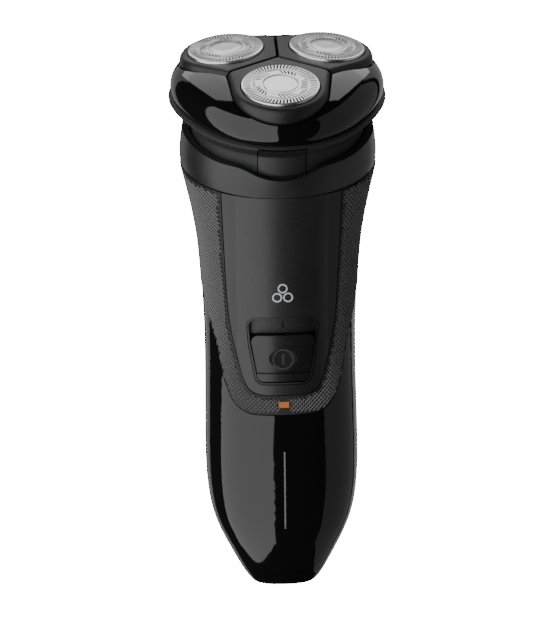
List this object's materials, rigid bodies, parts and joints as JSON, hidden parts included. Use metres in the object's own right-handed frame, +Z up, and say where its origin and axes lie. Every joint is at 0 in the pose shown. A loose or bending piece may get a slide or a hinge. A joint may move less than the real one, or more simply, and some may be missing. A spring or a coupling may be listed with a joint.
{
  "type": "electric shaver",
  "caption": "Cordless rotary shaver with three tilting cutters on a pivoting, flip-open head, slide switch and pop-up trimmer.",
  "frame": {"origin": "centre of the base's flat face", "axes": "+Z up the handle, front with the switch towards -Y, +X to the right of someone facing the front"},
  "size_m": [0.0656, 0.0653, 0.173],
  "materials": {
    "gloss_black": "gloss",
    "satin_black": "satin",
    "matte_black": "matte",
    "satin_grey": "satin",
    "rubber": "matte",
    "holder_grey": "matte",
    "blade_steel": "satin",
    "steel": "satin",
    "contact_metal": "polished",
    "gear_white": "satin",
    "frame_plastic": "matte",
    "board_green": "satin",
    "amber_lens": "gloss"
  },
  "bodies": {
    "handle": {"front_housing": "gloss_black", "rear_housing": "gloss_black", "base_cap": "gloss_black", "power_inlet": "matte_black", "inlet_pins": "contact_metal", "base_seal": "rubber", "base_screws": "steel", "grip": "rubber", "front_panel": "satin_black", "indicator_window": "amber_lens", "switch_tray": "matte_black", "inner_frame": "frame_plastic", "battery": "steel", "circuit_board": "board_green", "board_screws": "steel", "slide_switch": "frame_plastic", "indicator_led": "amber_lens", "motor": "steel", "motor_bracket": "frame_plastic", "trimmer_tray": "matte_black", "trimmer_pin": "steel", "collar": "satin_grey", "neck_mount": "frame_plastic", "mount_screws": "steel", "housing_screws": "steel"},
    "power_switch": {"power_slider": "satin_black"},
    "motor_rotor": {"motor_shaft": "steel", "ball_driver": "gear_white"},
    "trimmer_arm": {"trimmer_arm": "gloss_black", "trimmer_comb": "blade_steel"},
    "trimmer_blade": {"trimmer_blade": "blade_steel"},
    "trimmer_latch": {"trimmer_latch": "gloss_black"},
    "gimbal": {"gimbal_ring": "frame_plastic", "gimbal_axles": "steel"},
    "neck": {"neck": "matte_black", "head_hinge_pin": "steel", "gear_cover": "frame_plastic"},
    "release_tab": {"release_tab": "matte_black"},
    "central_gear": {"central_gear": "gear_white"},
    "top_frame": {"top_frame": "gloss_black", "frame_catch": "matte_black"},
    "front_planet": {"front_planet_gear": "gear_white", "front_spring": "steel"},
    "front_holder": {"front_holder": "holder_grey", "front_cutter_cap": "blade_steel", "front_retainer": "gear_white"},
    "front_inner_cutter": {"front_inner_cutter": "blade_steel"},
    "right_planet": {"right_planet_gear": "gear_white", "right_spring": "steel"},
    "right_holder": {"right_holder": "holder_grey", "right_cutter_cap": "blade_steel", "right_retainer": "gear_white"},
    "right_inner_cutter": {"right_inner_cutter": "blade_steel"},
    "left_planet": {"left_planet_gear": "gear_white", "left_spring": "steel"},
    "left_holder": {"left_holder": "holder_grey", "left_cutter_cap": "blade_steel", "left_retainer": "gear_white"},
    "left_inner_cutter": {"left_inner_cutter": "blade_steel"}
  },
  "joints": [
    {"name": "power_slide", "type": "slide", "parent": "handle", "child": "power_switch", "axis": [0, 0, 1], "range_m": [0, 0.0036]},
    {"name": "motor_spin", "type": "hinge", "parent": "handle", "child": "motor_rotor", "pos_m": [0, -0.00086, 0.14459], "axis": [0, -0.2974, 0.9548], "continuous": true},
    {"name": "neck_roll", "type": "hinge", "parent": "handle", "child": "gimbal", "pos_m": [0, -0.00086, 0.14459], "axis": [0, 0.9548, 0.2974], "range_deg": [-3.5, 3.5], "stiffness_Nm_per_rad": 0.6},
    {"name": "neck_pitch", "type": "hinge", "parent": "gimbal", "child": "neck", "pos_m": [0, -0.00086, 0.14459], "axis": [1, 0, 0], "range_deg": [-3.5, 3.5], "stiffness_Nm_per_rad": 0.6},
    {"name": "head_open", "type": "hinge", "parent": "neck", "child": "top_frame", "pos_m": [0, 0.02567, 0.165], "axis": [-1, 0, 0], "range_deg": [0, 80]},
    {"name": "release_push", "type": "slide", "parent": "neck", "child": "release_tab", "axis": [0, 0.9548, 0.2974], "range_m": [0, 0.001], "stiffness_N_per_m": 400},
    {"name": "trimmer_flip", "type": "hinge", "parent": "handle", "child": "trimmer_arm", "pos_m": [0, 0.0214, 0.1006], "axis": [-1, 0, 0], "range_deg": [0, 60]},
    {"name": "trimmer_stroke", "type": "slide", "parent": "trimmer_arm", "child": "trimmer_blade", "axis": [1, 0, 0], "range_m": [-0.0008, 0.0008]},
    {"name": "trimmer_release", "type": "slide", "parent": "handle", "child": "trimmer_latch", "axis": [0, 0, 1], "range_m": [0, 0.004], "stiffness_N_per_m": 60},
    {"name": "central_gear_spin", "type": "hinge", "parent": "neck", "child": "central_gear", "pos_m": [0, -0.00086, 0.14459], "axis": [0, -0.2974, 0.9548], "continuous": true},
    {"name": "front_planet_spin", "type": "hinge", "parent": "neck", "child": "front_planet", "pos_m": [0, -0.02034, 0.14794], "axis": [0, -0.2974, 0.9548], "continuous": true},
    {"name": "front_holder_tilt", "type": "hinge", "parent": "top_frame", "child": "front_holder", "pos_m": [0, -0.02376, 0.15893], "axis": [1, 0, 0], "range_deg": [-3, 3], "stiffness_Nm_per_rad": 0.1},
    {"name": "front_cutter_spin", "type": "hinge", "parent": "front_holder", "child": "front_inner_cutter", "pos_m": [0, -0.0248, 0.16227], "axis": [0, -0.3795, 0.9252], "continuous": true},
    {"name": "right_planet_spin", "type": "hinge", "parent": "neck", "child": "right_planet", "pos_m": [0.01524, 0.00486, 0.15579], "axis": [0, -0.2974, 0.9548], "continuous": true},
    {"name": "right_holder_tilt", "type": "hinge", "parent": "top_frame", "child": "right_holder", "pos_m": [0.01524, 0.00144, 0.16678], "axis": [-0.5, 0.8268, 0.2575], "range_deg": [-3, 3], "stiffness_Nm_per_rad": 0.1},
    {"name": "right_cutter_spin", "type": "hinge", "parent": "right_holder", "child": "right_inner_cutter", "pos_m": [0.01524, 0.0004, 0.17012], "axis": [0.0755, -0.2546, 0.9641], "continuous": true},
    {"name": "left_planet_spin", "type": "hinge", "parent": "neck", "child": "left_planet", "pos_m": [-0.01524, 0.00486, 0.15579], "axis": [0, -0.2974, 0.9548], "continuous": true},
    {"name": "left_holder_tilt", "type": "hinge", "parent": "top_frame", "child": "left_holder", "pos_m": [-0.01524, 0.00144, 0.16678], "axis": [-0.5, -0.8268, -0.2575], "range_deg": [-3, 3], "stiffness_Nm_per_rad": 0.1},
    {"name": "left_cutter_spin", "type": "hinge", "parent": "left_holder", "child": "left_inner_cutter", "pos_m": [-0.01524, 0.0004, 0.17012], "axis": [-0.0755, -0.2546, 0.9641], "continuous": true}
  ],
  "couplings": [
    {"joint": "central_gear_spin", "follows": "motor_spin", "ratio": 1},
    {"joint": "front_planet_spin", "follows": "motor_spin", "ratio": -1.4444},
    {"joint": "front_cutter_spin", "follows": "motor_spin", "ratio": -1.4444},
    {"joint": "right_planet_spin", "follows": "motor_spin", "ratio": -1.4444},
    {"joint": "right_cutter_spin", "follows": "motor_spin", "ratio": -1.4444},
    {"joint": "left_planet_spin", "follows": "motor_spin", "ratio": -1.4444},
    {"joint": "left_cutter_spin", "follows": "motor_spin", "ratio": -1.4444}
  ]
}
